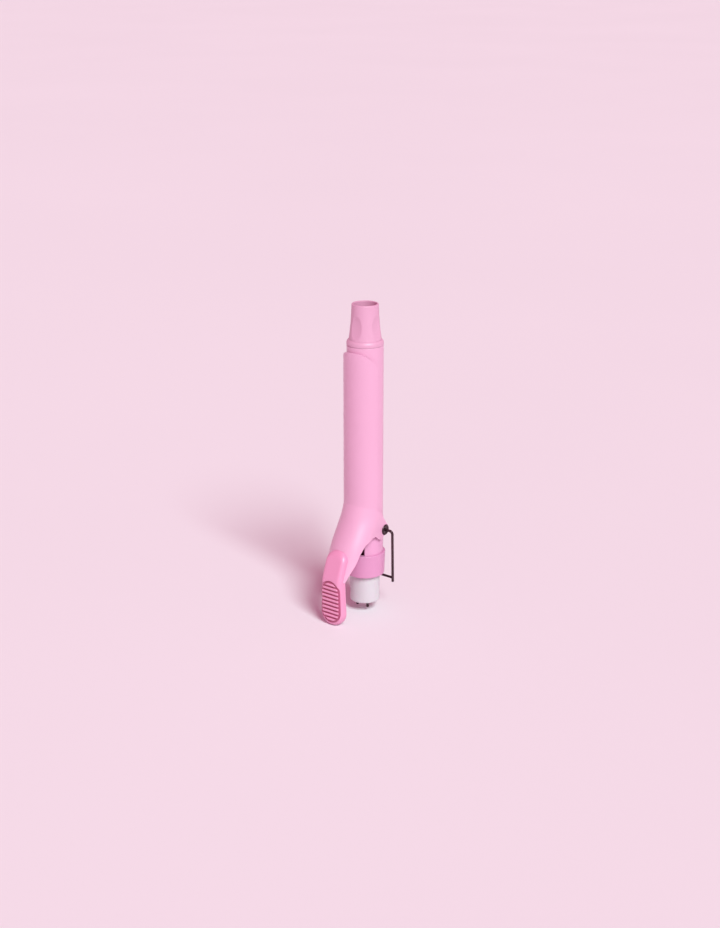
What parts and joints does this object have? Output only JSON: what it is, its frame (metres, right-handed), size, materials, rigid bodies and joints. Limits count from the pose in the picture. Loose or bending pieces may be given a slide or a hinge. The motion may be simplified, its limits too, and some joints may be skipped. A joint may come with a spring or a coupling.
{
  "type": "hair curler head",
  "caption": "Barrel head for a modular hair curler: round heated barrel with sprung clamp, thumb lever, wire rest, hollow cool tip and contact plug.",
  "frame": {"origin": "centre of the skirt's underside, on the barrel's axis, where the plug enters the handle", "axes": "+Z along the barrel towards the cool tip, -Y towards the thumb lever, X along the clamp's hinge"},
  "size_m": [0.0552, 0.0693, 0.2826],
  "materials": {
    "plug_white": "satin, slightly translucent nylon",
    "pin_metal": "dark burnished metal",
    "carrier_plastic": "matt phenolic",
    "skirt_pink": "satin",
    "housing_pink": "satin",
    "spring_steel": "satin",
    "washer_nylon": "matt",
    "wire_metal": "dark burnished metal",
    "barrel_coating": "satin ceramic coating",
    "tip_pink": "satin",
    "heater_alloy": "extruded",
    "ceramic_grey": "sintered",
    "film_amber": "smooth film",
    "lead_white": "silicone",
    "lead_red": "silicone",
    "clamp_coating": "satin ceramic coating",
    "thumb_pink": "satin",
    "pad_pink": "satin, ribbed"
  },
  "bodies": {
    "head": {"connector_plug": "plug_white", "contact_pins": "pin_metal", "contact_carrier": "carrier_plastic", "base_skirt": "skirt_pink", "hinge_collar": "housing_pink", "hinge_tube": "spring_steel", "hinge_washer_right": "washer_nylon", "hinge_washer_left": "washer_nylon", "hinge_eyelet_right": "wire_metal", "hinge_eyelet_left": "wire_metal", "barrel_tube": "barrel_coating", "tip_end_disc": "carrier_plastic", "tip_ring": "tip_pink", "cool_tip": "tip_pink", "tip_screw": "spring_steel", "heater_shoe_right": "heater_alloy", "heater_shoe_left": "heater_alloy", "heater_leaf_spring": "spring_steel", "ptc_heater_tiles": "ceramic_grey", "electrode_right": "heater_alloy", "electrode_left": "heater_alloy", "insulating_film": "film_amber", "thermistor": "film_amber", "thermal_fuse": "spring_steel", "heat_shield_disc": "film_amber", "lead_neutral": "lead_white", "lead_live": "lead_red", "lead_sense": "lead_white", "lead_fuse_link": "pin_metal"},
    "clamp": {"clamp_shell": "clamp_coating", "thumb_rest": "thumb_pink", "thumb_grip_pad": "pad_pink", "thumb_rest_screws": "spring_steel", "clamp_spring": "spring_steel"},
    "rest": {"rest_leg_right": "wire_metal", "rest_leg_left": "wire_metal", "rest_crossbar": "wire_metal"}
  },
  "joints": [
    {"name": "clamp_hinge", "type": "hinge", "parent": "head", "child": "clamp", "pos_m": [0, 0.005, 0.043], "axis": [1, 0, 0], "range_deg": [0, 16], "stiffness_Nm_per_rad": 0.9, "springref_deg": -20.05},
    {"name": "rest_hinge", "type": "hinge", "parent": "head", "child": "rest", "pos_m": [0, 0.005, 0.043], "axis": [1, 0, 0], "range_deg": [0, 110]}
  ]
}
